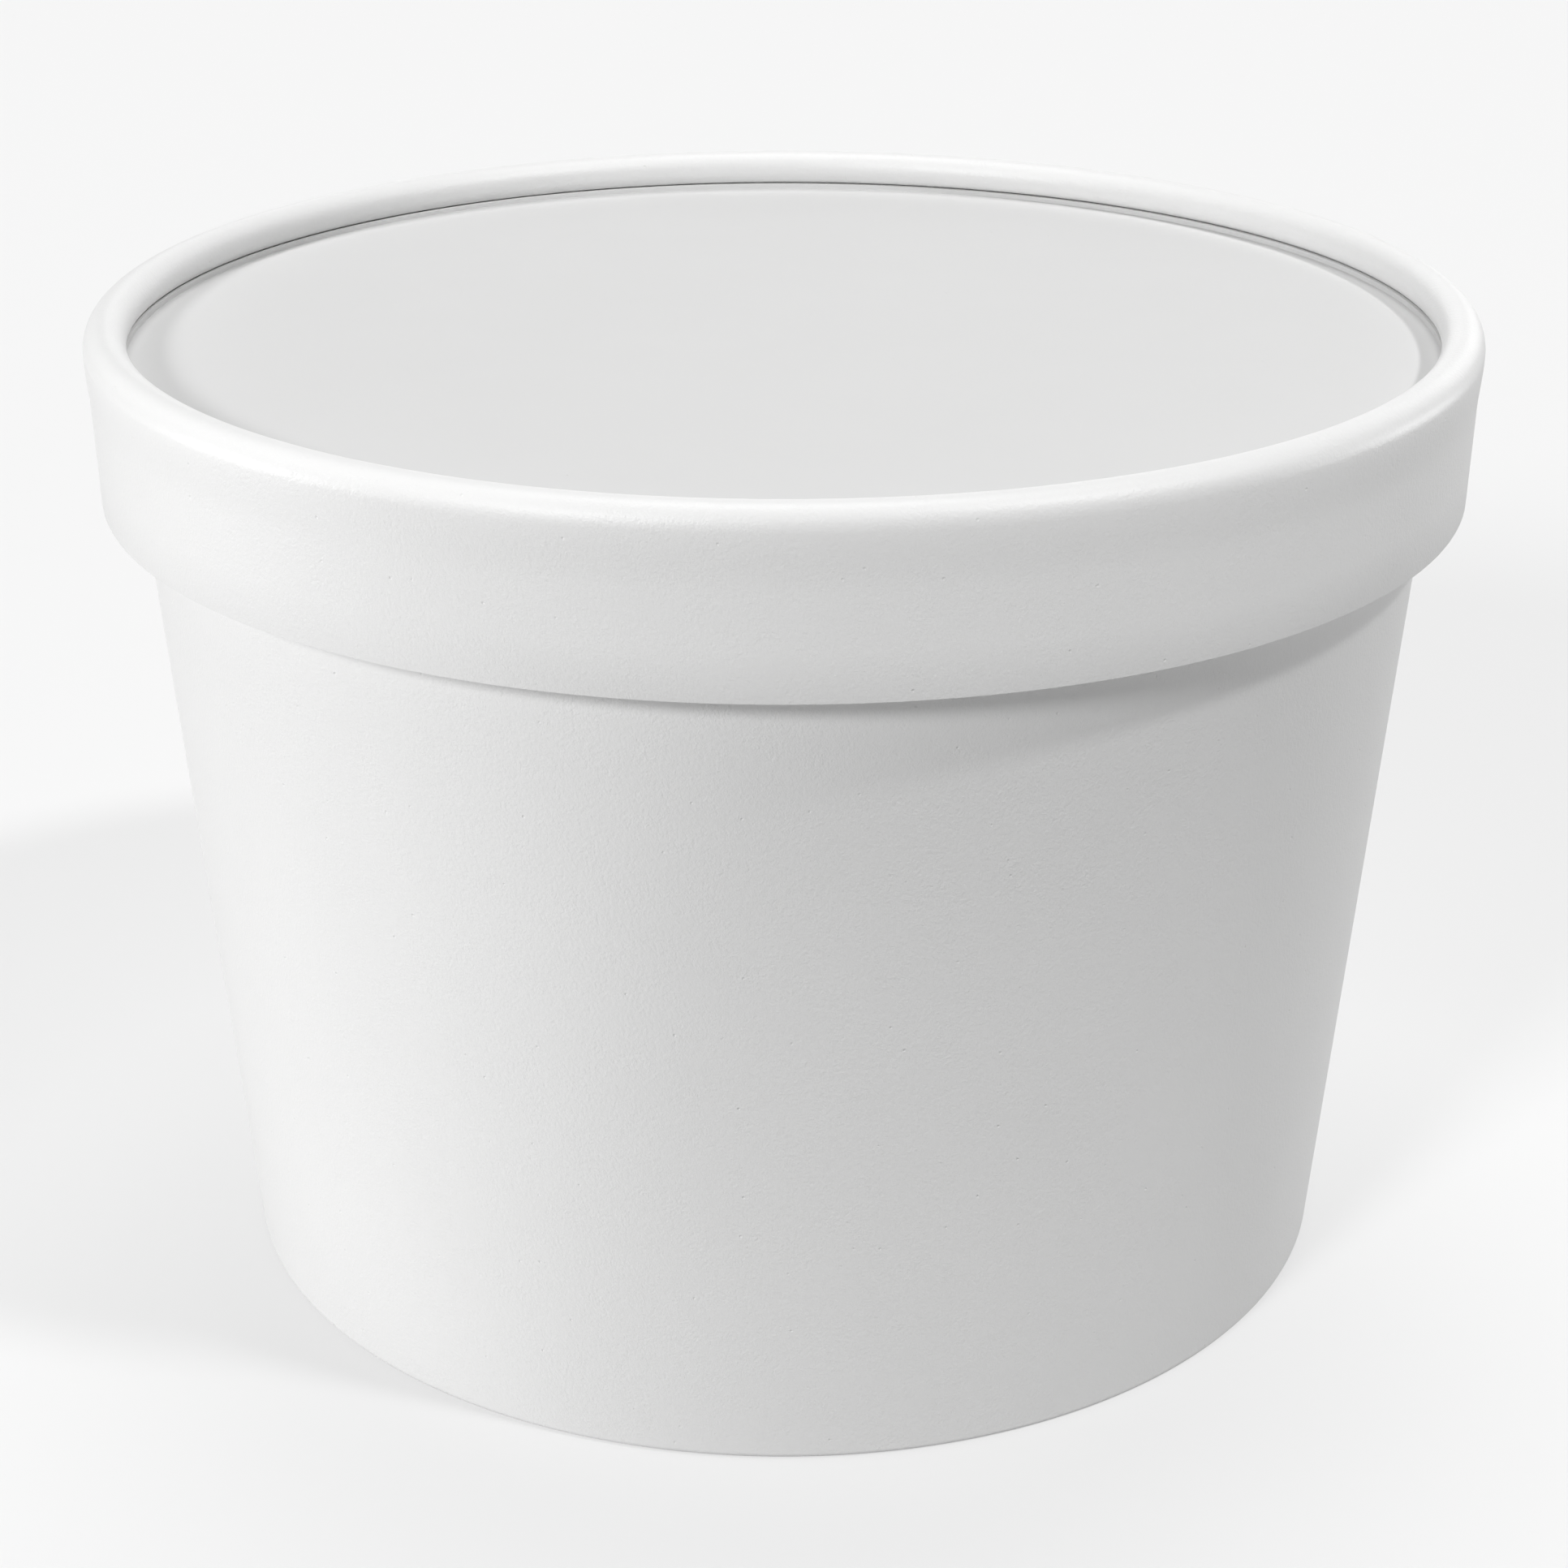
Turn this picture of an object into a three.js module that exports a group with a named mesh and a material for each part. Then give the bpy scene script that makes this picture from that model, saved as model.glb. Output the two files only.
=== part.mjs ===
// A round paper ice cream tub with its push-on paper lid, shut and standing on its foot.
// Units are millimetres, +Z is up, and the origin is the middle of the foot's ring, where it stands.
// The shut tub can't be seen into, so its wall and what it holds are one solid.
import * as THREE from "three";

// Gap that keeps touching pieces apart
const GAP = 0.3;

// Thickness of the paper board
const BOARD = 0.5;

// Driving dimensions of the cup
const CUP_HEIGHT = 66.63; // to the top of the rolled brim
const FOOT_RADIUS = 41.0; // outside of the wall, carried down to where the tub stands
const WALL_SLOPE = 0.083; // how much the wall's radius grows for each millimetre of height
const BRIM_ROLL = 1.3; // radius of the brim's roll
const BRIM_OVERHANG = 1.5; // how far the roll stands out from the wall
const FOLD_WIDTH = 1.3; // wall, base flange and turned-in hem, one on the other
const FOLD_ROUND = 0.45; // rounding of the fold that the tub stands on
const FOOT_HOLLOW = 6.3; // height of the hollow under the cup

// Driving dimensions of the lid. A drop is a height measured down from the bead's crest.
const LID_RADIUS = 49.0; // outside of the bead
const CREST_RADIUS = 47.5;
const BEAD_INNER_RADIUS = 46.05;
const BEAD_OUTER_DROP = 1.65; // to where the bead is widest
const BEAD_INNER_DROP = 1.65; // to where the bead's opening is narrowest
const LIP_DROP = 2.4; // to the lip of the curled-in edge
const LIP_SETBACK = 0.19; // how far the lip lies back under the bead
const SKIRT_DROP = 12.25; // to the skirt's lower edge
const SKIRT_RADIUS = 48.55; // outside of the skirt at its lower edge
const SKIRT_SLOPE = 0.03; // how much the skirt's radius grows for each millimetre of height
const NECK_DROP = 5.6; // to where the skirt starts to swell into the bead
const PANEL_DROP = 2.92; // to the top of the panel
const FLANGE_RADIUS = 46.25; // inner face of the panel's turned-up flange
const FLANGE_HEIGHT = PANEL_DROP - LIP_DROP - GAP; // it ends just under the lip
const FLANGE_ROUND = 0.1;

// The lid's height follows from its panel, which lies on the cup's brim.
const LID_TOP = CUP_HEIGHT + GAP + BOARD + PANEL_DROP;

// Fineness of the turned shapes
const TURN_SEGMENTS = 96;
const ARC_STEPS = 6;
const SMALL_ARC_STEPS = 3;
const SWELL_STEPS = 5;

const HALF_TURN = Math.PI;
const QUARTER_TURN = Math.PI / 2;

const point = (radius, height) => new THREE.Vector2(radius, height);

// Points on an elliptical arc in the (radius, height) plane, from one angle to another, ends included.
function arc(centre, across, up, from, to, steps = ARC_STEPS) {
  return Array.from({ length: steps + 1 }, (_, i) => {
    const angle = from + ((to - from) * i) / steps;
    return point(centre.x + across * Math.cos(angle), centre.y + up * Math.sin(angle));
  });
}

// A solid turned about Z from a profile that runs anticlockwise in the (radius, height) plane.
function turned(profile) {
  return new THREE.LatheGeometry(profile, TURN_SEGMENTS).rotateX(QUARTER_TURN);
}

// Outside radius of the cup's wall at a height.
const wallRadius = (height) => FOOT_RADIUS + WALL_SLOPE * height;

// The foot: the hollow's ceiling, the inside of the hem and the fold that the tub stands on.
function footProfile() {
  const hemRadius = (height) => wallRadius(height) - FOLD_WIDTH;
  const innerRound = point(hemRadius(0) + FOLD_ROUND, FOLD_ROUND);
  const outerRound = point(wallRadius(FOLD_ROUND) - FOLD_ROUND, FOLD_ROUND);
  return [
    point(0, FOOT_HOLLOW),
    point(hemRadius(FOOT_HOLLOW), FOOT_HOLLOW),
    ...arc(innerRound, FOLD_ROUND, FOLD_ROUND, HALF_TURN, HALF_TURN + QUARTER_TURN, SMALL_ARC_STEPS),
    ...arc(outerRound, FOLD_ROUND, FOLD_ROUND, -QUARTER_TURN, 0, SMALL_ARC_STEPS),
  ];
}

// The brim: the wall's top edge rolled outwards, under the lid.
function brimProfile() {
  const middle = CUP_HEIGHT - BRIM_ROLL;
  const rollCentre = point(wallRadius(middle) + BRIM_OVERHANG - BRIM_ROLL, middle);
  return [
    point(wallRadius(middle - BRIM_ROLL), middle - BRIM_ROLL),
    ...arc(rollCentre, BRIM_ROLL, BRIM_ROLL, -QUARTER_TURN, QUARTER_TURN, 2 * ARC_STEPS),
  ];
}

// The shut cup: foot, tapered wall and rolled brim, solid up to the lid's panel.
function cupBody() {
  return turned([...footProfile(), ...brimProfile(), point(0, CUP_HEIGHT)]);
}

// The base disc, set up inside the foot's hollow. Its slanted rim follows the hem.
function cupBase() {
  const radius = wallRadius(0) - FOLD_WIDTH - GAP;
  return turned([
    point(0, 0),
    point(radius, 0),
    point(radius + WALL_SLOPE * BOARD, BOARD),
    point(0, BOARD),
  ]);
}

// Outside radius of the lid's skirt at a drop.
const skirtRadius = (drop) => SKIRT_RADIUS + SKIRT_SLOPE * (SKIRT_DROP - drop);

// The stretch where the skirt swells into the bead: an S-curve from the neck to the widest point.
function swellProfile() {
  const neck = skirtRadius(NECK_DROP);
  return Array.from({ length: SWELL_STEPS }, (_, i) => {
    const share = i / SWELL_STEPS;
    const eased = share * share * (3 - 2 * share);
    const drop = NECK_DROP + (BEAD_OUTER_DROP - NECK_DROP) * share;
    return point(neck + (LID_RADIUS - neck) * eased, -drop);
  });
}

// The curl's last stretch, from the bead's narrowest point back under to the lip.
function lipProfile() {
  const height = LIP_DROP - BEAD_INNER_DROP;
  return Array.from({ length: SMALL_ARC_STEPS }, (_, i) => {
    const share = (i + 1) / SMALL_ARC_STEPS;
    return point(BEAD_INNER_RADIUS + LIP_SETBACK * share * share, -BEAD_INNER_DROP - height * share);
  });
}

// The collar: a strip of board made into a ring, its top edge curled in over the panel.
// Heights start at the bead's crest. The curl's inside can't be seen, so it is solid.
function lidCollar() {
  const outer = point(CREST_RADIUS, -BEAD_OUTER_DROP);
  const inner = point(CREST_RADIUS, -BEAD_INNER_DROP);
  const outerReach = LID_RADIUS - CREST_RADIUS;
  const innerReach = CREST_RADIUS - BEAD_INNER_RADIUS;
  const lowerEdge = skirtRadius(SKIRT_DROP);
  return turned([
    point(lowerEdge - BOARD, -SKIRT_DROP),
    point(lowerEdge, -SKIRT_DROP),
    ...swellProfile(),
    ...arc(outer, outerReach, BEAD_OUTER_DROP, 0, QUARTER_TURN),
    ...arc(inner, innerReach, BEAD_INNER_DROP, QUARTER_TURN, HALF_TURN).slice(1),
    ...lipProfile(),
    point(skirtRadius(LIP_DROP) - BOARD, -LIP_DROP),
    point(lowerEdge - BOARD, -SKIRT_DROP),
  ]);
}

// The panel: the lid's flat disc, its edge turned up to meet the lip of the curl.
// Heights start at the panel's top face.
function lidPanel() {
  const innerRound = point(FLANGE_RADIUS - FLANGE_ROUND, FLANGE_ROUND);
  const bend = point(FLANGE_RADIUS, 0);
  return turned([
    point(0, -BOARD),
    ...arc(bend, BOARD, BOARD, -QUARTER_TURN, 0, SMALL_ARC_STEPS),
    point(FLANGE_RADIUS + BOARD, FLANGE_HEIGHT),
    point(FLANGE_RADIUS, FLANGE_HEIGHT),
    ...arc(innerRound, FLANGE_ROUND, FLANGE_ROUND, 0, -QUARTER_TURN, SMALL_ARC_STEPS),
    point(0, 0),
  ]);
}

// A named mesh with a finish of its own, its own zero height set at the given height.
function piece(name, geometry, finish, height = 0) {
  const mesh = new THREE.Mesh(geometry, new THREE.MeshStandardMaterial(finish));
  mesh.name = name;
  mesh.position.z = height;
  return mesh;
}

// Finishes: plain white board, a touch greyer on the lid's panel and under the base
const WALL_BOARD = { color: 0xf3f3f2, roughness: 0.62, metalness: 0 };
const BASE_BOARD = { color: 0xeeeeec, roughness: 0.68, metalness: 0 };
const COLLAR_BOARD = { color: 0xf6f6f5, roughness: 0.55, metalness: 0 };
const PANEL_BOARD = { color: 0xe9e9e8, roughness: 0.66, metalness: 0 };

const cup = new THREE.Group();
cup.add(
  piece("cup_body", cupBody(), WALL_BOARD),
  piece("cup_base", cupBase(), BASE_BOARD, FOOT_HOLLOW - GAP - BOARD),
);

const lid = new THREE.Group();
lid.position.z = LID_TOP;
lid.add(
  piece("lid_collar", lidCollar(), COLLAR_BOARD),
  piece("lid_panel", lidPanel(), PANEL_BOARD, -PANEL_DROP),
);

const tub = new THREE.Group();
tub.add(cup, lid);

export default tub;
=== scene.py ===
"""Dresses the packed ice cream tub in folded and curled paper board, and sets its floor, light and camera.

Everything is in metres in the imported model's frame: +Z up, with the tub standing on z = 0.
"""
import logging
import math
from collections.abc import Mapping
from dataclasses import dataclass, field
from enum import Enum
from typing import Any, ClassVar

import bmesh
import bpy
from mathutils import Matrix, Vector


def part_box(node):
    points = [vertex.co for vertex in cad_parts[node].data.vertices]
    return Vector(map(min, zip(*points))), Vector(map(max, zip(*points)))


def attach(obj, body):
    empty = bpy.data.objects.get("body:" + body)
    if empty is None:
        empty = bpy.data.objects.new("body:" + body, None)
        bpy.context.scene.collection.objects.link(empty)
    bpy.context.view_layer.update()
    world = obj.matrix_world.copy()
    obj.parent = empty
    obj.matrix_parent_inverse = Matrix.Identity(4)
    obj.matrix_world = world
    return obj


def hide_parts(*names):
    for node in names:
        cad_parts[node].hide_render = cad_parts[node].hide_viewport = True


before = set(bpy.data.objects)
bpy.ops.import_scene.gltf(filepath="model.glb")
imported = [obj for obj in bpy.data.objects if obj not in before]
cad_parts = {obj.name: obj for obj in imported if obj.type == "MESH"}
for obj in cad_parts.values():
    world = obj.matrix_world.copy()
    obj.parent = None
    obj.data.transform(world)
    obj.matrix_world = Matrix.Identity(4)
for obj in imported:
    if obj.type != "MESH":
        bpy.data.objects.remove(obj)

log = logging.getLogger("tub")

MM = 0.001
FULL_TURN = 2 * math.pi
ANGLE_SLACK = 1e-6  # radians, for a point that rounding leaves just short of a full turn
MERGE_DISTANCE = 0.001 * MM
SHARP_ANGLE = math.radians(40)
PHOTO_WIDTH = 1932  # pixels
SENSOR_WIDTH = 36.0  # millimetres

Outline = list[Vector]


class Signal:
    """A shader socket that takes part in arithmetic, where each operator adds its Math node."""

    def __init__(self, shader: "Shader", socket: bpy.types.NodeSocket) -> None:
        """Wraps an output socket of a shader's node."""
        self.shader = shader
        self.socket = socket

    def other(self, output: str) -> "Signal":
        """Gives another output of the same node."""
        return Signal(self.shader, self.socket.node.outputs[output])

    def _math(self, operation: str, *operands: "Signal | float") -> "Signal":
        """Adds a Math node for an operation on its operands."""
        return self.shader.add("ShaderNodeMath", {"operation": operation}, dict(enumerate(operands)))

    def __add__(self, other: "Signal | float") -> "Signal":
        """Adds to this signal."""
        return self._math("ADD", self, other)

    __radd__ = __add__

    def __sub__(self, other: "Signal | float") -> "Signal":
        """Takes from this signal."""
        return self._math("SUBTRACT", self, other)

    def __rsub__(self, other: float) -> "Signal":
        """Takes this signal from a number."""
        return self._math("SUBTRACT", other, self)

    def __mul__(self, other: "Signal | float") -> "Signal":
        """Multiplies this signal."""
        return self._math("MULTIPLY", self, other)

    __rmul__ = __mul__


class Shader:
    """The nodes of one material, or of the world."""

    def __init__(self, owner: bpy.types.Material | bpy.types.World) -> None:
        """Gives a material or a world an empty set of nodes with an output.

        Args:
            owner: The material or the world.
        """
        self.owner = owner
        self.owner.use_nodes = True
        self.tree = self.owner.node_tree
        self.tree.nodes.clear()
        kind = "World" if isinstance(owner, bpy.types.World) else "Material"
        self.output = self.tree.nodes.new(f"ShaderNodeOutput{kind}")

    def add(
        self,
        kind: str,
        settings: Mapping[str, Any] | None = None,
        inputs: Mapping[str | int, Any] | None = None,
        output: str | int = 0,
    ) -> Signal:
        """Adds a node.

        Args:
            kind: The node's type.
            settings: The node's own properties, which are set first.
            inputs: A value or a signal for each socket, by its name or place.
            output: The name or place of the socket that is returned.

        Returns:
            The chosen output as a signal.
        """
        node = self.tree.nodes.new(kind)
        for name, value in (settings or {}).items():
            setattr(node, name, value)
        for name, value in (inputs or {}).items():
            if isinstance(value, Signal):
                self.tree.links.new(value.socket, node.inputs[name])
            else:
                node.inputs[name].default_value = value
        return Signal(self, node.outputs[output])

    def finish(self, surface: Signal) -> bpy.types.Material | bpy.types.World:
        """Ends the nodes with the surface's shader, and returns their owner."""
        self.tree.links.new(surface.socket, self.output.inputs["Surface"])
        return self.owner


def grey(brightness: float) -> tuple[float, float, float, float]:
    """Gives a neutral colour of a brightness."""
    return (brightness, brightness, brightness, 1.0)


class Lay(Enum):
    """How the board's fibres lie on a piece, as the stretch of the grain along X, Y and Z."""

    UPRIGHT = (1.0, 1.0, 0.92)
    ACROSS = (0.6, 1.0, 1.0)


@dataclass(frozen=True)
class BoardFinish:
    """White paper board with the short fibres and stray pits of its surface."""

    slot: str
    brightness: float
    roughness: float
    lay: Lay
    roughness_spread: float = 0.12  # over the grain
    blue_share: float = 0.997  # of the brightness, so the white is a little warm
    refraction: float = 1.48
    grain_width: float = 0.25 * MM
    grain_height: float = 0.026 * MM
    fine_width: float = 0.11 * MM
    fine_height: float = 0.007 * MM
    patch_width: float = 1.8 * MM
    patch_contrast: float = 1.1
    pit_spacing: float = 1.5 * MM
    pit_radius: float = 0.13 * MM
    pit_depth: float = 0.04 * MM
    pit_share: float = 0.5
    cloud_width: float = 9.0 * MM
    cloud_contrast: float = 0.02
    octave_strength: float = 0.55  # of each finer octave, beside the one before it
    noise_twist: float = 0.35

    def _noise(self, shader: Shader, place: Signal, width: float, octaves: float) -> Signal:
        """Adds a smooth random field.

        Args:
            shader: The material that is being made.
            place: The coordinates, in metres.
            width: The width of one bump, in metres.
            octaves: How many finer octaves are added.

        Returns:
            A signal about 0.5.
        """
        inputs = {
            "Vector": place,
            "Scale": 1 / width,
            "Detail": octaves,
            "Roughness": self.octave_strength,
            "Distortion": self.noise_twist,
        }
        return shader.add("ShaderNodeTexNoise", {"noise_dimensions": "3D"}, inputs)

    def _pits(self, shader: Shader, place: Signal) -> Signal:
        """Adds stray pits.

        Args:
            shader: The material that is being made.
            place: The coordinates, in metres.

        Returns:
            A signal that is 1 in the middle of a pit and 0 away from them.
        """
        cells = {"Vector": place, "Scale": 1 / self.pit_spacing, "Randomness": 1.0}
        distance = shader.add("ShaderNodeTexVoronoi", {}, cells, "Distance")
        red = shader.add("ShaderNodeSeparateColor", {}, {"Color": distance.other("Color")}, "Red")
        chosen = shader.add("ShaderNodeMath", {"operation": "LESS_THAN"}, {0: red, 1: self.pit_share})
        reach = self.pit_radius / self.pit_spacing
        fall = {"Value": distance, "From Min": 0.0, "From Max": reach, "To Min": 1.0, "To Max": 0.0}
        bowl = shader.add("ShaderNodeMapRange", {"interpolation_type": "SMOOTHSTEP"}, fall, "Result")
        return bowl * chosen

    def material(self) -> bpy.types.Material:
        """Makes the finish.

        Returns:
            The board's material.
        """
        shader = Shader(bpy.data.materials.new(self.slot))
        place = shader.add("ShaderNodeTexCoord", output="Object")
        along = shader.add("ShaderNodeMapping", {}, {"Vector": place, "Scale": self.lay.value})
        grain = self._noise(shader, along, self.grain_width, octaves=2)
        fine = self._noise(shader, along, self.fine_width, octaves=0)
        patch = (self._noise(shader, place, self.patch_width, octaves=0) - 0.5) * self.patch_contrast + 1.0
        relief = ((grain - 0.5) * self.grain_height + (fine - 0.5) * self.fine_height) * patch
        relief = relief - self._pits(shader, place) * self.pit_depth
        bump = {"Height": relief, "Strength": 1.0, "Distance": 1.0}
        normal = shader.add("ShaderNodeBump", {}, bump, "Normal")
        cloud = self._noise(shader, place, self.cloud_width, octaves=1)
        tone = cloud * self.cloud_contrast + (1 - self.cloud_contrast / 2)
        white = (self.brightness, self.brightness, self.brightness * self.blue_share)
        colour = shader.add("ShaderNodeVectorMath", {"operation": "SCALE"}, {0: white, "Scale": tone})
        board = {
            "Base Color": colour,
            "Roughness": self.roughness + (grain - 0.5) * self.roughness_spread,
            "Normal": normal,
            "IOR": self.refraction,
        }
        return shader.finish(shader.add("ShaderNodeBsdfPrincipled", {}, board))


def ease(share: float) -> float:
    """Makes an even share set out and arrive gently, along an S-curve."""
    return share * share * (3 - 2 * share)


@dataclass(frozen=True)
class Seam:
    """The overlap where a strip of board closes into a ring.

    The board's outer end stops at the seam's edge, and past it the ply below rises to the common surface.
    """

    bearing: float  # radians from +X towards +Y, which is the back
    ply: float = 0.32 * MM
    edge: float = 0.04 * MM  # width of the step at the outer end
    rise: float = 11.0 * MM

    def depth(self, distance: float) -> float:
        """Says how far the surface lies under the common one.

        Args:
            distance: The way round the ring from the outer end, in metres.

        Returns:
            The depth in metres.
        """
        if distance < self.edge / 2:
            return 0.0
        share = min(1.0, (distance - self.edge) / self.rise)
        return self.ply * (1 - ease(share))


def point(radius: float, height: float) -> Vector:
    """Gives a point of an outline, which lies in the XZ plane."""
    return Vector((radius, 0.0, height))


def arc(centre: Vector, reach: tuple[float, float], start: float, end: float, steps: int) -> Outline:
    """Makes an elliptical arc in the XZ plane.

    Args:
        centre: The ellipse's centre.
        reach: The ellipse's half-widths across and up.
        start: The angle of the first point, in degrees from +X towards +Z.
        end: The angle of the last point, in degrees.
        steps: How many chords it has.

    Returns:
        The arc's points, ends included.
    """
    angles = [math.radians(start + (end - start) * i / steps) for i in range(steps + 1)]
    return [centre + point(reach[0] * math.cos(a), reach[1] * math.sin(a)) for a in angles]


@dataclass(frozen=True)
class Landmarks:
    """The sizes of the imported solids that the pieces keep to."""

    brim_top: float
    base_underside: float
    lid_radius: float
    lid_top: float
    skirt_bottom: float
    panel_top: float
    foot_radius: float = 41.0 * MM
    wall_slope: float = 0.083
    panel_thickness: ClassVar[float] = 0.5 * MM

    @classmethod
    def read(cls) -> "Landmarks":
        """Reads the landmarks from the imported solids.

        Returns:
            The landmarks.
        """
        cup_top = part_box("cup_body")[1]
        collar_low, collar_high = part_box("lid_collar")
        panel_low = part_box("lid_panel")[0]
        return cls(
            brim_top=cup_top[2],
            base_underside=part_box("cup_base")[0][2],
            lid_radius=collar_high[0],
            lid_top=collar_high[2],
            skirt_bottom=collar_low[2],
            panel_top=panel_low[2] + cls.panel_thickness,
        )

    def wall_radius(self, height: float) -> float:
        """Gives the cup wall's outside radius at a height."""
        return self.foot_radius + self.wall_slope * height


@dataclass
class BoardPiece:
    """A piece of board that is turned about Z. A kind of piece gives the outline of the face that shows."""

    marks: Landmarks
    name: str
    node: str
    finish: BoardFinish
    seam: Seam | None = None
    board: float = 0.45 * MM
    columns: int = 384
    seam_columns: int = 28
    rounding: float = 0.05 * MM  # of the board's cut edges
    rounding_segments: int = 2
    dished: bool = False  # the hollow side is the one that shows
    mesh: bmesh.types.BMesh = field(default_factory=bmesh.new)

    def outline(self) -> Outline:
        """Gives the outline of the face that shows, in the XZ plane."""
        raise NotImplementedError

    def stretches(self) -> list[tuple[float, int]]:
        """Divides the turn into stretches of columns, the first ones close together at the seam.

        Returns:
            The angle and the number of columns of each stretch.
        """
        if self.seam is None:
            return [(FULL_TURN, self.columns)]
        radius = self.marks.lid_radius
        edge = self.seam.edge / radius
        rise = self.seam.rise / radius
        rest = FULL_TURN - edge - rise
        return [(edge, 1), (rise, self.seam_columns), (rest, self.columns)]

    def turn(self) -> None:
        """Spins the outline about Z, and closes the ring and the pole."""
        verts = [self.mesh.verts.new(place) for place in self.outline()]
        edges = [self.mesh.edges.new(ends) for ends in zip(verts, verts[1:])]
        last = verts + edges
        for angle, columns in self.stretches():
            spun = bmesh.ops.spin(
                self.mesh,
                geom=last,
                cent=(0, 0, 0),
                axis=(0, 0, 1),
                angle=angle,
                steps=columns,
                use_merge=False,
            )
            last = [item for item in spun["geom_last"] if not isinstance(item, bmesh.types.BMFace)]
        bmesh.ops.remove_doubles(self.mesh, verts=self.mesh.verts, dist=MERGE_DISTANCE)
        bmesh.ops.recalc_face_normals(self.mesh, faces=self.mesh.faces)
        if self.dished:
            bmesh.ops.reverse_faces(self.mesh, faces=self.mesh.faces)

    def pressed(self, place: Vector) -> float:
        """Says which share of the seam's depth shows at a place."""
        return 1.0

    def press_seam(self) -> None:
        """Lowers the surface past the seam's edge by the ply's thickness, and turns the seam to its place."""
        if self.seam is None:
            return
        self.mesh.normal_update()
        moves = []
        for vert in self.mesh.verts:
            angle = math.atan2(vert.co.y, vert.co.x) % FULL_TURN
            if angle > FULL_TURN - ANGLE_SLACK:
                angle = 0.0
            depth = self.seam.depth(angle * self.marks.lid_radius) * self.pressed(vert.co)
            moves.append((vert, vert.normal * depth))
        for vert, move in moves:
            vert.co -= move
        turn = Matrix.Rotation(self.seam.bearing, 3, "Z")
        bmesh.ops.rotate(self.mesh, verts=self.mesh.verts, cent=(0, 0, 0), matrix=turn)

    def thicken(self) -> None:
        """Gives the face the board's thickness and rounds the board's cut edges."""
        shown = set(self.mesh.faces)
        border = [edge for edge in self.mesh.edges if edge.is_boundary]
        bmesh.ops.solidify(self.mesh, geom=list(self.mesh.faces), thickness=self.board)
        cut = {face for edge in border for face in edge.link_faces} - shown
        corners = [edge for edge in self.mesh.edges if len({face in cut for face in edge.link_faces}) == 2]
        bmesh.ops.bevel(
            self.mesh,
            geom=corners,
            offset=self.rounding,
            offset_type="OFFSET",
            segments=self.rounding_segments,
            profile=0.5,
            affect="EDGES",
            material=-1,
        )

    def shape(self) -> None:
        """Adds what a kind of piece has besides its outline, before the board gets its thickness."""

    def build(self) -> bpy.types.Object:
        """Makes the piece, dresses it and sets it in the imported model's place.

        Returns:
            The finished object.
        """
        self.turn()
        self.shape()
        self.press_seam()
        self.thicken()
        data = bpy.data.meshes.new(self.name)
        for face in self.mesh.faces:
            face.smooth = True
        self.mesh.to_mesh(data)
        self.mesh.free()
        data.set_sharp_from_angle(angle=SHARP_ANGLE)
        data.materials.append(self.finish.material())
        piece = bpy.data.objects.new(self.name, data)
        bpy.context.scene.collection.objects.link(piece)
        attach(piece, "root")
        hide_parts(self.node)
        log.info("%s: %d faces, for %s", self.name, len(data.polygons), self.node)
        return piece


@dataclass
class CupWall(BoardPiece):
    """The wall: a strip of board from the foot's turned-in hem up to the brim's roll."""

    columns: int = 480
    fold_width: float = 1.3 * MM
    fold_round: float = 0.5 * MM
    fold_steps: int = 6
    hem_top: float = 4.9 * MM
    hem_share: float = 0.9  # of the fold's width, beyond which a point is on the hem's inner face
    brim_roll: float = 1.3 * MM
    brim_overhang: float = 1.5 * MM
    roll_angles: tuple[float, float] = (-60.0, 150.0)  # degrees, from the wall to the roll's lip
    roll_steps: int = 18
    knurls: int = 120
    knurl_depth: float = 0.05 * MM

    def hem(self, height: float) -> Vector:
        """Gives a point of the hem's inner face at a height."""
        return point(self.marks.wall_radius(height) - self.fold_width, height)

    def outline(self) -> Outline:
        """Gives the hem's inner face, the fold, the wall's outer face and the brim's roll.

        Returns:
            The outline from the hem's cut edge to the roll's lip.
        """
        radius = self.marks.wall_radius
        rounding = (self.fold_round, self.fold_round)
        inner = point(radius(0) - self.fold_width + self.fold_round, self.fold_round)
        outer = point(radius(self.fold_round) - self.fold_round, self.fold_round)
        middle = self.marks.brim_top - self.brim_roll
        roll = point(radius(middle) + self.brim_overhang - self.brim_roll, middle)
        neck = middle - 2 * self.brim_roll
        return [
            self.hem(self.hem_top),
            self.hem(self.hem_top / 2),
            *arc(inner, rounding, 180, 270, self.fold_steps),
            *arc(outer, rounding, 270, 360, self.fold_steps),
            point(radius(neck), neck),
            *arc(roll, (self.brim_roll, self.brim_roll), *self.roll_angles, self.roll_steps),
        ]

    def shape(self) -> None:
        """Presses the fine upright marks of the forming tool into the hem's inner face."""
        self.mesh.normal_update()
        for vert in self.mesh.verts:
            radius = math.hypot(vert.co.x, vert.co.y)
            inside = radius < self.marks.wall_radius(vert.co.z) - self.hem_share * self.fold_width
            if inside and vert.co.z > self.fold_round:
                wave = 0.5 + 0.5 * math.cos(self.knurls * math.atan2(vert.co.y, vert.co.x))
                vert.co.xy *= 1 + wave * self.knurl_depth / radius


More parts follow.
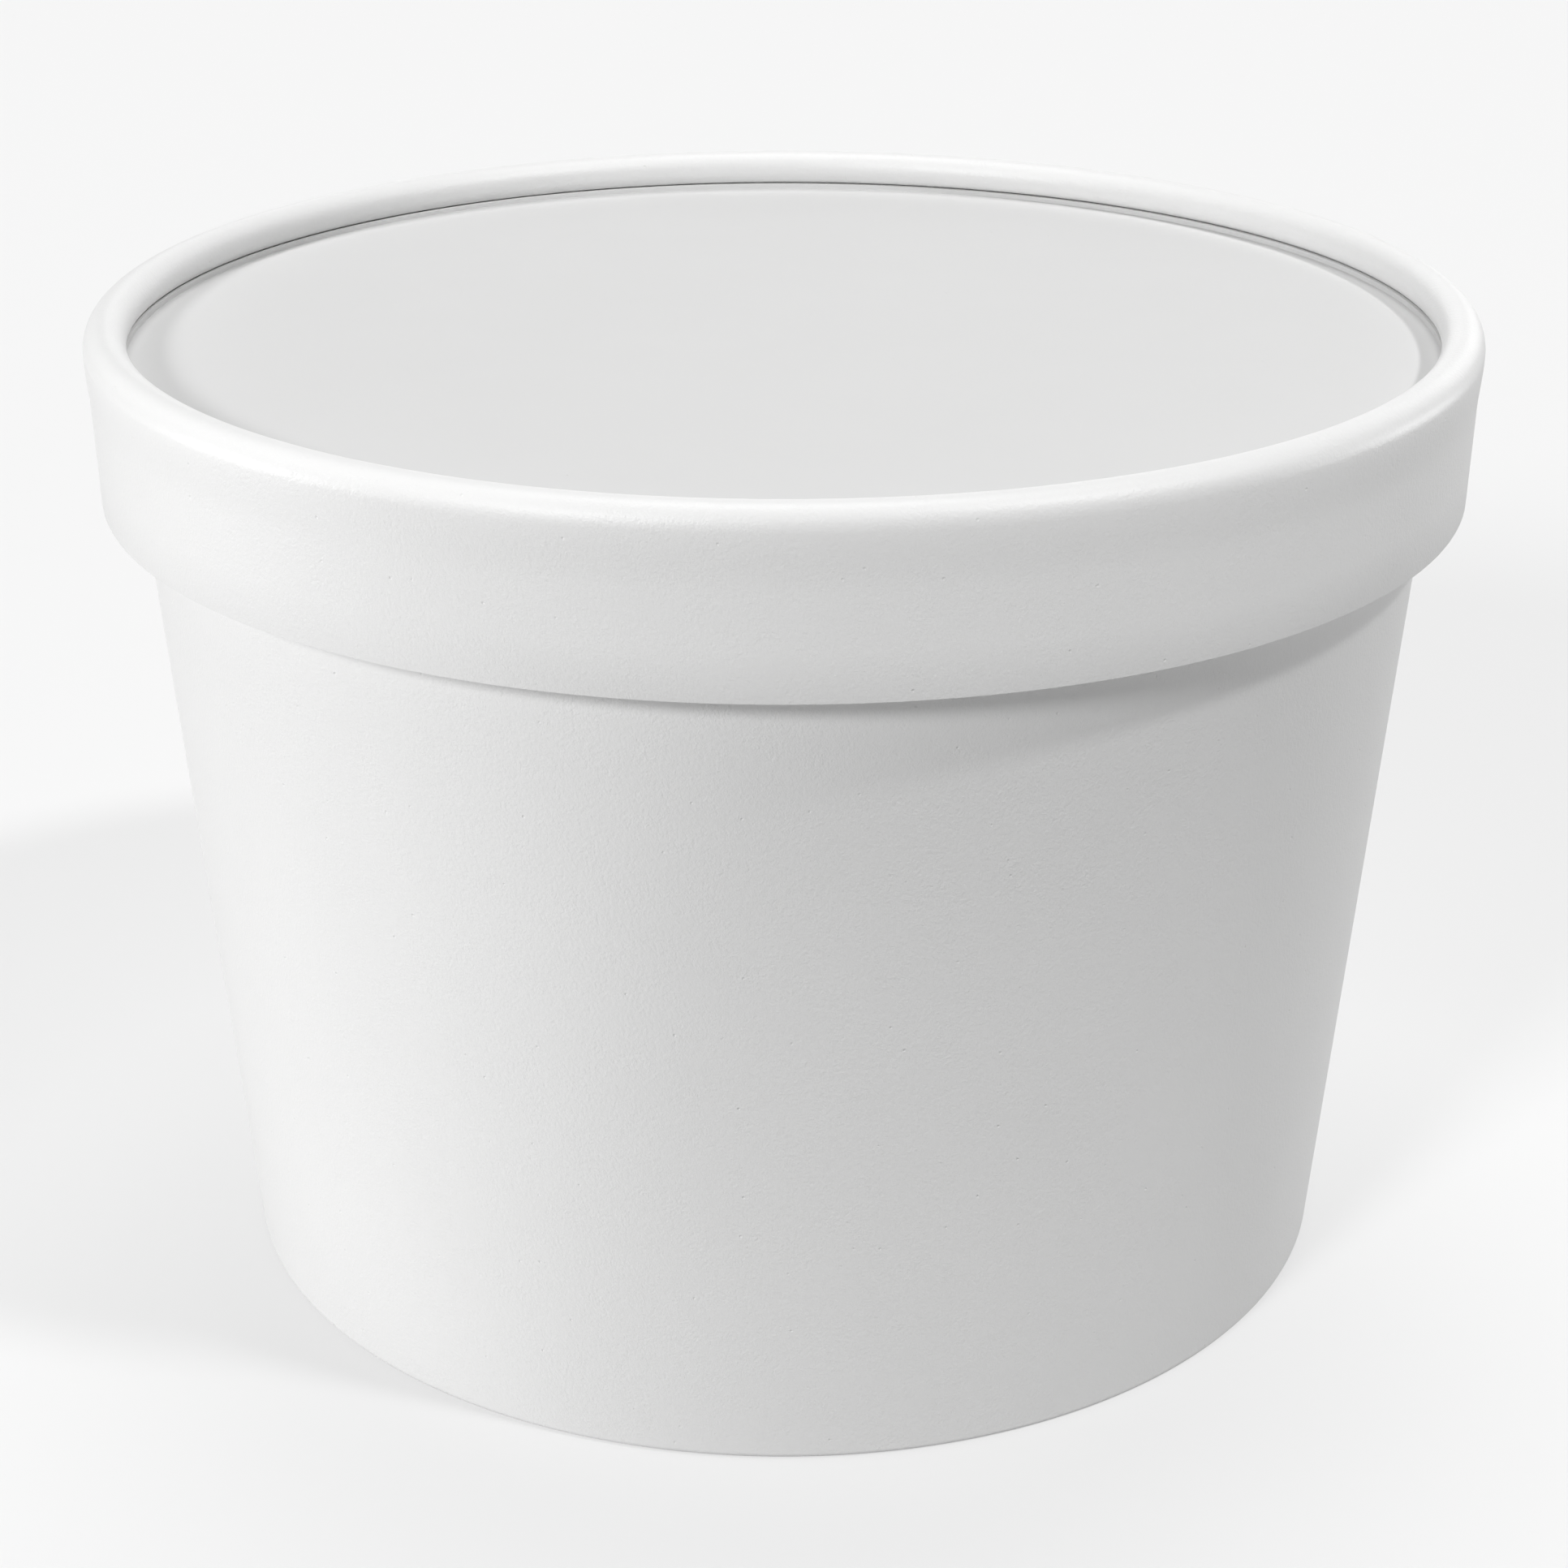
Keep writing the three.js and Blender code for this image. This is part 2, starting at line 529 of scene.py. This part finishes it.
@dataclass
class BoardDisc(BoardPiece):
    """A flat disc of board with its edge bent into a flange, which shows its hollow side."""

    dished: bool = True
    bend: float = 0.05 * MM
    bend_steps: int = 5
    ring_shares: tuple[float, ...] = (0.0, 0.3, 0.6, 0.85)  # of the flat's radius

    def disc(self, level: float, radius: float, flange_end: float) -> Outline:
        """Gives the flat, the bend and the flange's inner face.

        Args:
            level: The height of the flat.
            radius: The radius of the flange's inner face.
            flange_end: The height of the flange's cut edge, above the flat or below it.

        Returns:
            The outline from the disc's middle to the flange's cut edge.
        """
        side = math.copysign(1, flange_end - level)
        centre = point(radius - self.bend, level + side * self.bend)
        rings = [point(centre.x * share, level) for share in self.ring_shares]
        return [
            *rings,
            *arc(centre, (self.bend, self.bend), -90 * side, 0, self.bend_steps),
            point(radius, flange_end),
        ]


@dataclass
class CupBase(BoardDisc):
    """The base: a disc of board whose turned-down edge goes behind the foot's hem."""

    board: float = 0.4 * MM
    bend: float = 0.45 * MM
    bend_steps: int = 6
    ring_shares: tuple[float, ...] = (0.0, 0.35, 0.7)
    flange_inset: float = 0.85 * MM
    flange_bottom: float = 4.6 * MM

    def outline(self) -> Outline:
        """Gives the disc's underside and the flange that is turned down.

        Returns:
            The outline from the disc's middle to the flange's cut edge.
        """
        underside = self.marks.base_underside
        radius = self.marks.wall_radius(underside) - self.flange_inset
        return self.disc(underside, radius, self.flange_bottom)


@dataclass
class LidCollar(BoardPiece):
    """The lid's collar: a strip of board from the skirt's cut edge over the bead to the curl's lip."""

    crest_radius: float = 47.5 * MM
    bead_inner_radius: float = 46.05 * MM
    outer_drop: float = 1.65 * MM
    inner_drop: float = 1.45 * MM
    bead_steps: int = 14
    under_width: float = 0.8 * MM
    under_drop: float = 1.1 * MM
    under_angle: float = 70.0  # degrees, how far the curl turns back under itself
    under_steps: int = 8
    skirt_radius: float = 48.55 * MM
    skirt_slope: float = 0.03
    neck_drop: float = 5.6 * MM
    swell_steps: int = 8

    def skirt(self, height: float) -> float:
        """Gives the skirt's outside radius at a height."""
        return self.skirt_radius + self.skirt_slope * (height - self.marks.skirt_bottom)

    def swell(self) -> Outline:
        """Gives the S-curve by which the skirt swells out into the bead.

        Returns:
            The curve's points from the bottom up, without the last one, where the bead starts.
        """
        neck = self.marks.lid_top - self.neck_drop
        widest = self.marks.lid_top - self.outer_drop
        start = self.skirt(neck)
        shares = [i / self.swell_steps for i in range(self.swell_steps)]
        return [
            point(start + (self.marks.lid_radius - start) * ease(share), neck + (widest - neck) * share)
            for share in shares
        ]

    def outline(self) -> Outline:
        """Gives the skirt's outside, the swell, the bead and the curl's lip.

        Returns:
            The outline from the skirt's cut edge to the curl's lip.
        """
        top = self.marks.lid_top
        outer = point(self.crest_radius, top - self.outer_drop)
        inner = point(self.crest_radius, top - self.inner_drop)
        under = point(self.bead_inner_radius + self.under_width, top - self.inner_drop)
        outer_reach = (self.marks.lid_radius - self.crest_radius, self.outer_drop)
        inner_reach = (self.crest_radius - self.bead_inner_radius, self.inner_drop)
        under_reach = (self.under_width, self.under_drop)
        low = self.marks.skirt_bottom
        middle = (low + top - self.neck_drop) / 2
        return [
            point(self.skirt(low), low),
            point(self.skirt(middle), middle),
            *self.swell(),
            *arc(outer, outer_reach, 0, 90, self.bead_steps),
            *arc(inner, inner_reach, 90, 180, self.bead_steps)[1:],
            *arc(under, under_reach, 180, 180 + self.under_angle, self.under_steps)[1:],
        ]

    def pressed(self, place: Vector) -> float:
        """Lets the seam fade out over the bead, where the board is rolled tight.

        Args:
            place: A point of the surface.

        Returns:
            The share of the seam's depth that shows there.
        """
        if math.hypot(place.x, place.y) < self.crest_radius:
            return 0.0
        return min(1.0, (self.marks.lid_top - place.z) / self.outer_drop)


@dataclass
class LidPanel(BoardDisc):
    """The lid's flat panel, its edge turned up to the curl's lip."""

    flange_radius: float = 46.25 * MM
    flange_height: float = 0.39 * MM

    def outline(self) -> Outline:
        """Gives the panel's top and the flange that is turned up."""
        top = self.marks.panel_top
        return self.disc(top, self.flange_radius, top + self.flange_height)


@dataclass(frozen=True)
class Lamp:
    """A soft light that faces the tub. A kind of light gives its source."""

    name: str
    bearing: float  # degrees from the camera's side, positive to the camera's right
    elevation: float  # degrees above the floor

    def source(self) -> bpy.types.Light:
        """Makes the light's source."""
        raise NotImplementedError

    def stand(self, way: Vector) -> Vector:
        """Says where the light stands, from the direction in which the tub sees it."""
        return way

    def place(self) -> bpy.types.Object:
        """Hangs the light.

        Returns:
            The light's object.
        """
        lamp = bpy.data.objects.new(self.name, self.source())
        around, up = math.radians(self.bearing), math.radians(self.elevation)
        way = Vector((math.sin(around) * math.cos(up), -math.cos(around) * math.cos(up), math.sin(up)))
        lamp.location = self.stand(way)
        lamp.rotation_euler = way.to_track_quat("Z", "Y").to_euler()
        bpy.context.scene.collection.objects.link(lamp)
        return lamp


@dataclass(frozen=True)
class FarLight(Lamp):
    """A soft light so far off that it falls evenly over the whole set."""

    brightness: float  # of a white surface that faces it
    width: float  # degrees, as seen from the tub

    def source(self) -> bpy.types.Light:
        """Makes the far light.

        Returns:
            The source.
        """
        data = bpy.data.lights.new(self.name, "SUN")
        data.energy = math.pi * self.brightness
        data.angle = math.radians(self.width)
        return data


@dataclass(frozen=True)
class LowStrip(Lamp):
    """A long low strip that stands on the floor, too low to light the lid's panel."""

    watts: float
    height: float
    length: float = 0.4
    distance: float = 1.0

    def source(self) -> bpy.types.Light:
        """Makes the strip.

        Returns:
            The source.
        """
        data = bpy.data.lights.new(self.name, "AREA")
        data.shape = "RECTANGLE"
        data.size = self.length
        data.size_y = self.height
        data.energy = self.watts
        return data

    def stand(self, way: Vector) -> Vector:
        """Says where the middle of the strip stands."""
        return way * self.distance + Vector((0, 0, self.height / 2))


@dataclass
class Studio:
    """The plain floor, the soft lights and the camera."""

    floor_side: float = 6.0
    floor_white: float = 0.29
    floor_shine: float = 0.582  # the glow that the camera sees
    floor_bounce: float = 0.182  # the glow that falls on the tub
    paleness: float = 0.93  # of the backdrop
    lights: tuple[Lamp, ...] = (
        FarLight("key_left", bearing=-34, elevation=28, brightness=0.60, width=12),
        FarLight("high_right", bearing=62, elevation=53, brightness=0.45, width=6),
        FarLight("back_right", bearing=150, elevation=15, brightness=0.15, width=30),
        FarLight("back", bearing=180, elevation=15, brightness=0.11, width=30),
        FarLight("top", bearing=180, elevation=75, brightness=0.45, width=30),
        LowStrip("low_left", bearing=-88, elevation=0, watts=5.1, height=0.13),
        LowStrip("low_right", bearing=110, elevation=0, watts=2.6, height=0.1),
    )
    camera_elevation: float = 23.116  # degrees
    camera_distance: float = 243.1 * MM  # from the point that it faces
    camera_aim: float = 32.35 * MM  # height of that point, over the tub's middle
    camera_near: float = 0.01
    camera_far: float = 20.0
    focal_pixels: float = 3957.4

    def floor(self) -> bpy.types.Object:
        """Lays the floor.

        Returns:
            The floor's object.
        """
        mesh = bmesh.new()
        bmesh.ops.create_grid(mesh, x_segments=1, y_segments=1, size=self.floor_side / 2)
        data = bpy.data.meshes.new("studio_floor")
        mesh.to_mesh(data)
        mesh.free()
        shader = Shader(bpy.data.materials.new("studio_floor"))
        seen = shader.add("ShaderNodeLightPath", output="Is Camera Ray")
        bounce = shader.add("ShaderNodeEmission", {}, {"Strength": self.floor_bounce})
        shine = shader.add("ShaderNodeEmission", {}, {"Strength": self.floor_shine})
        glow = shader.add("ShaderNodeMixShader", {}, {0: seen, 1: bounce, 2: shine})
        matte = shader.add("ShaderNodeBsdfDiffuse", {}, {"Color": grey(self.floor_white)})
        data.materials.append(shader.finish(shader.add("ShaderNodeAddShader", {}, {0: glow, 1: matte})))
        floor = bpy.data.objects.new("studio_floor", data)
        bpy.context.scene.collection.objects.link(floor)
        return floor

    def backdrop(self) -> bpy.types.World:
        """Sets a pale backdrop behind the floor, which sheds no light.

        Returns:
            The world.
        """
        shader = Shader(bpy.data.worlds.new("studio"))
        seen = shader.add("ShaderNodeLightPath", output="Is Camera Ray")
        dark = shader.add("ShaderNodeBackground", {}, {"Color": grey(0.0)})
        pale = shader.add("ShaderNodeBackground", {}, {"Color": grey(self.paleness)})
        world = shader.finish(shader.add("ShaderNodeMixShader", {}, {0: seen, 1: dark, 2: pale}))
        bpy.context.scene.world = world
        return world

    def camera(self) -> bpy.types.Object:
        """Sets the camera where the photograph was taken from.

        Returns:
            The camera's object.
        """
        data = bpy.data.cameras.new("camera")
        data.sensor_width = SENSOR_WIDTH
        data.lens = self.focal_pixels * SENSOR_WIDTH / PHOTO_WIDTH
        data.clip_start = self.camera_near
        data.clip_end = self.camera_far
        camera = bpy.data.objects.new("camera", data)
        up = math.radians(self.camera_elevation)
        back = Vector((0.0, -math.cos(up), math.sin(up)))
        camera.location = Vector((0, 0, self.camera_aim)) + back * self.camera_distance
        camera.rotation_euler = back.to_track_quat("Z", "Y").to_euler()
        bpy.context.scene.collection.objects.link(camera)
        bpy.context.scene.camera = camera
        return camera

    def build(self) -> None:
        """Sets up the whole studio."""
        self.camera()
        self.floor()
        self.backdrop()
        for light in self.lights:
            light.place()
        bpy.context.scene.view_settings.view_transform = "Standard"
        log.info("studio: %d lights", len(self.lights))


WALL_BOARD = BoardFinish("wall_board", brightness=0.81, roughness=0.5, lay=Lay.UPRIGHT)
BASE_BOARD = BoardFinish("base_board", brightness=0.76, roughness=0.6, lay=Lay.ACROSS)
COLLAR_BOARD = BoardFinish("collar_board", brightness=0.765, roughness=0.45, lay=Lay.UPRIGHT)
PANEL_BOARD = BoardFinish(
    "panel_board",
    brightness=0.65,
    roughness=0.8,
    lay=Lay.ACROSS,
    grain_height=0.006 * MM,
    fine_height=0.002 * MM,
    pit_share=0.06,
)
WALL_SEAM = Seam(bearing=math.radians(90))
LID_SEAM = Seam(bearing=math.radians(58))


def main() -> None:
    """Builds every piece in order, then the studio."""
    logging.basicConfig(level=logging.INFO, format="%(name)s: %(message)s")
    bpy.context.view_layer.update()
    marks = Landmarks.read()
    CupWall(marks, "cup_wall", "cup_body", WALL_BOARD, WALL_SEAM).build()
    CupBase(marks, "cup_base_disc", "cup_base", BASE_BOARD).build()
    LidCollar(marks, "lid_collar_strip", "lid_collar", COLLAR_BOARD, LID_SEAM).build()
    LidPanel(marks, "lid_panel_disc", "lid_panel", PANEL_BOARD).build()
    Studio().build()


if __name__ == "__main__":
    main()
